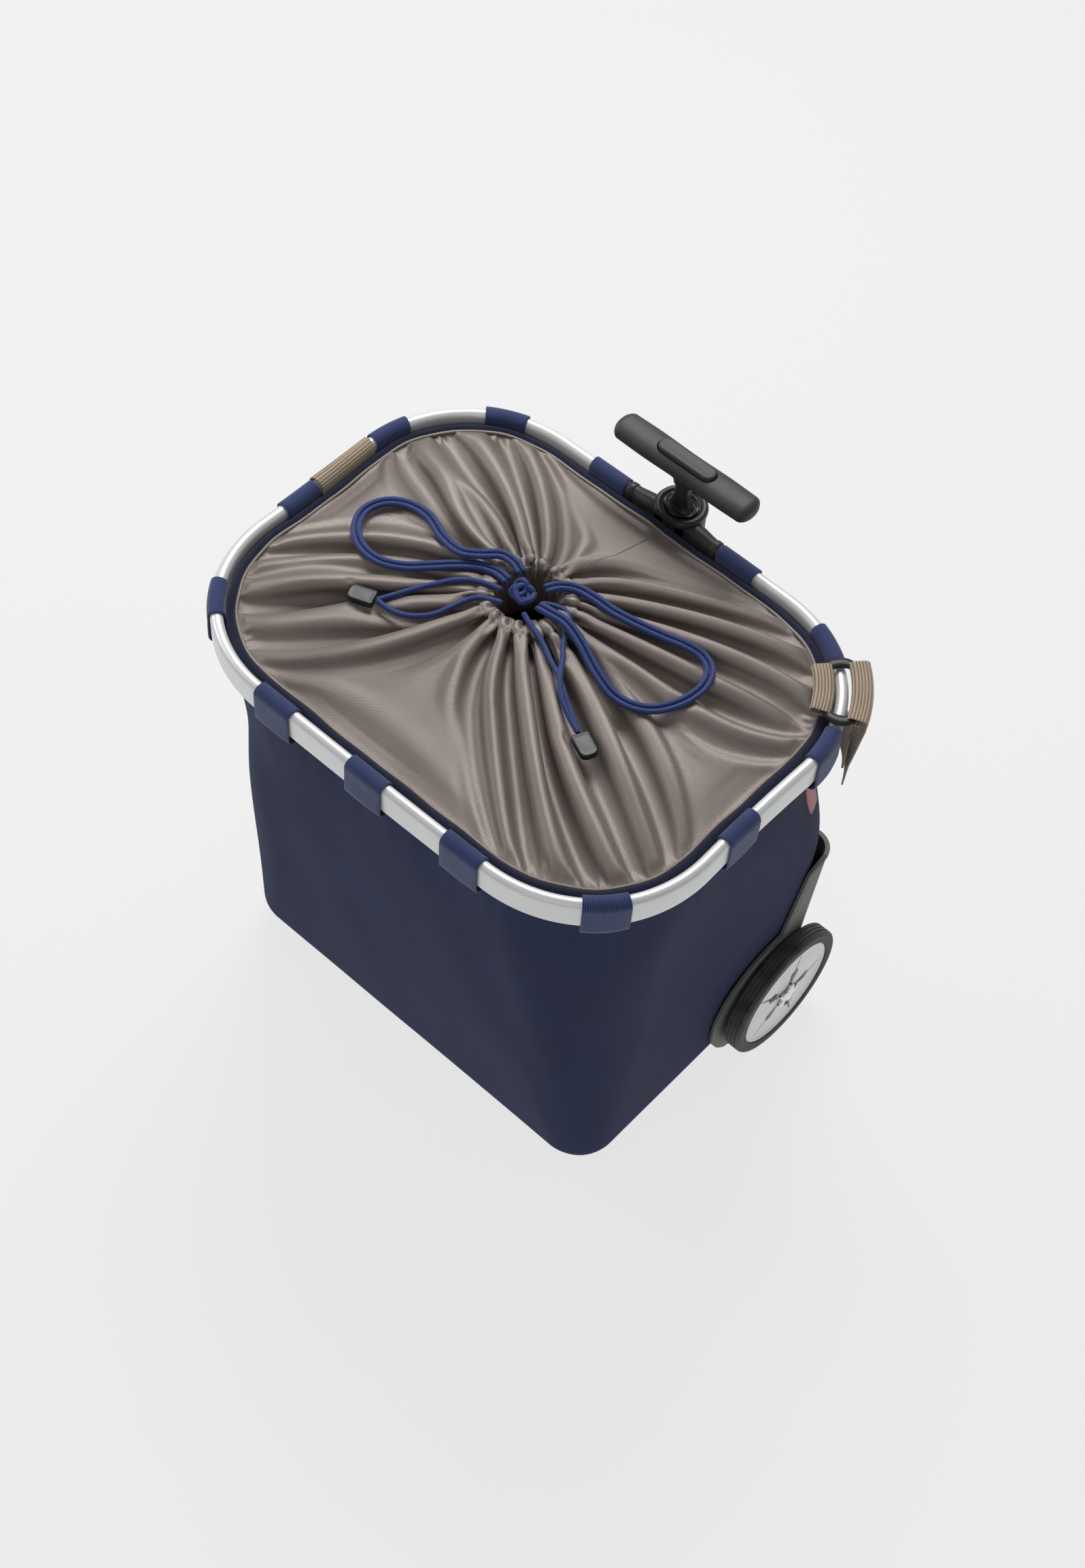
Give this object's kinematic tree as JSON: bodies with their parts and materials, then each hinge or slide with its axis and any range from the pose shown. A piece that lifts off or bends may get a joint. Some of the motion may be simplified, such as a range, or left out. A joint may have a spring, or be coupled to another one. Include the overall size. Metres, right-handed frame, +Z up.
{
  "type": "shopping trolley",
  "caption": "Small two-wheeled shopping trolley: a tapered fabric bag hung by webbing loops from a rounded ring, with a gathered cover, a drawstring and a telescopic T-handle.",
  "frame": {"origin": "middle of the footprint, on the floor that the wheels and front feet stand on", "axes": "+Z up, +Y towards the handle's side, +X towards the right-hand end, seen from the front"},
  "size_m": [0.4312, 0.3482, 0.4786],
  "materials": {
    "aluminium_tube": "satin anodised",
    "black_plastic": "fine moulded texture",
    "black_tube": "satin black coat",
    "grip_plastic": "satin moulded",
    "steel": "bright",
    "chassis_plastic": "fine moulded texture",
    "tyre": "matte, ribbed tread",
    "wheel_plastic": "satin moulded",
    "chrome": "polished",
    "bag_fabric": "plain-weave polyester",
    "board_plastic": "plain",
    "cover_fabric": "soft twill with a slight sheen",
    "loop_webbing": "woven",
    "strap_webbing": "ribbed webbing",
    "tab_webbing": "woven tape",
    "cord_braid": "braided"
  },
  "bodies": {
    "root": {"frame_ring": "aluminium_tube", "pole_outer_tube": "aluminium_tube", "collar_body": "black_plastic", "collar_bezel": "black_plastic", "strap_buckle": "black_plastic", "cord_clip_left": "black_plastic", "cord_clip_front": "black_plastic", "front_foot_left": "black_plastic", "front_foot_right": "black_plastic", "stub_axle_left": "steel", "stub_axle_right": "steel", "chassis_body": "chassis_plastic", "chassis_cheek_left": "chassis_plastic", "chassis_cheek_right": "chassis_plastic", "bag_back_panel": "bag_fabric", "bag_left_panel": "bag_fabric", "bag_front_panel": "bag_fabric", "bag_right_panel": "bag_fabric", "bag_bottom_panel": "bag_fabric", "rim_band": "bag_fabric", "base_board": "board_plastic", "cover": "cover_fabric", "loop_left_back_inner": "loop_webbing", "loop_right_back_inner": "loop_webbing", "loop_left_back_corner": "loop_webbing", "loop_right_back_corner": "loop_webbing", "loop_left_end_back": "loop_webbing", "loop_right_end_back": "loop_webbing", "loop_left_end_front": "loop_webbing", "loop_right_end_front": "loop_webbing", "loop_left_front_corner": "loop_webbing", "loop_right_front_corner": "loop_webbing", "loop_left_front": "loop_webbing", "loop_right_front": "loop_webbing", "loop_front_middle": "loop_webbing", "strap_left_wrap": "strap_webbing", "carrying_strap": "strap_webbing", "buckle_inner_wrap": "strap_webbing", "buckle_outer_wrap": "strap_webbing", "side_tab": "tab_webbing", "drawstring_left_loop": "cord_braid", "drawstring_right_loop": "cord_braid", "drawstring_left_tail": "cord_braid", "drawstring_front_tail": "cord_braid", "drawstring_knot": "cord_braid"},
    "wheel_left": {"wheel_tyre_left": "tyre", "wheel_rim_left": "wheel_plastic", "wheel_cap_left": "chrome"},
    "wheel_right": {"wheel_tyre_right": "tyre", "wheel_rim_right": "wheel_plastic", "wheel_cap_right": "chrome"},
    "pole_middle": {"pole_middle_tube": "aluminium_tube", "pole_middle_bush": "black_plastic"},
    "pole_inner": {"pole_inner_tube": "black_tube", "pole_inner_slider": "black_plastic", "grip_body": "grip_plastic", "button_spring": "steel"},
    "release": {"release_button": "grip_plastic", "release_rod": "steel"}
  },
  "joints": [
    {"name": "pole_middle_slide", "type": "slide", "parent": "root", "child": "pole_middle", "axis": [0, 0, 1], "range_m": [0, 0.26]},
    {"name": "pole_inner_slide", "type": "slide", "parent": "pole_middle", "child": "pole_inner", "axis": [0, 0, 1], "range_m": [0, 0.26]},
    {"name": "release_push", "type": "slide", "parent": "pole_inner", "child": "release", "axis": [0, 0, -1], "range_m": [0, 0.003], "stiffness_N_per_m": 300, "springref_m": -0.003, "deforming": ["button_spring"]},
    {"name": "wheel_left_spin", "type": "hinge", "parent": "root", "child": "wheel_left", "pos_m": [-0.2, 0.08955, 0.0597], "axis": [1, 0, 0], "continuous": true},
    {"name": "wheel_right_spin", "type": "hinge", "parent": "root", "child": "wheel_right", "pos_m": [0.2, 0.08955, 0.0597], "axis": [1, 0, 0], "continuous": true}
  ]
}
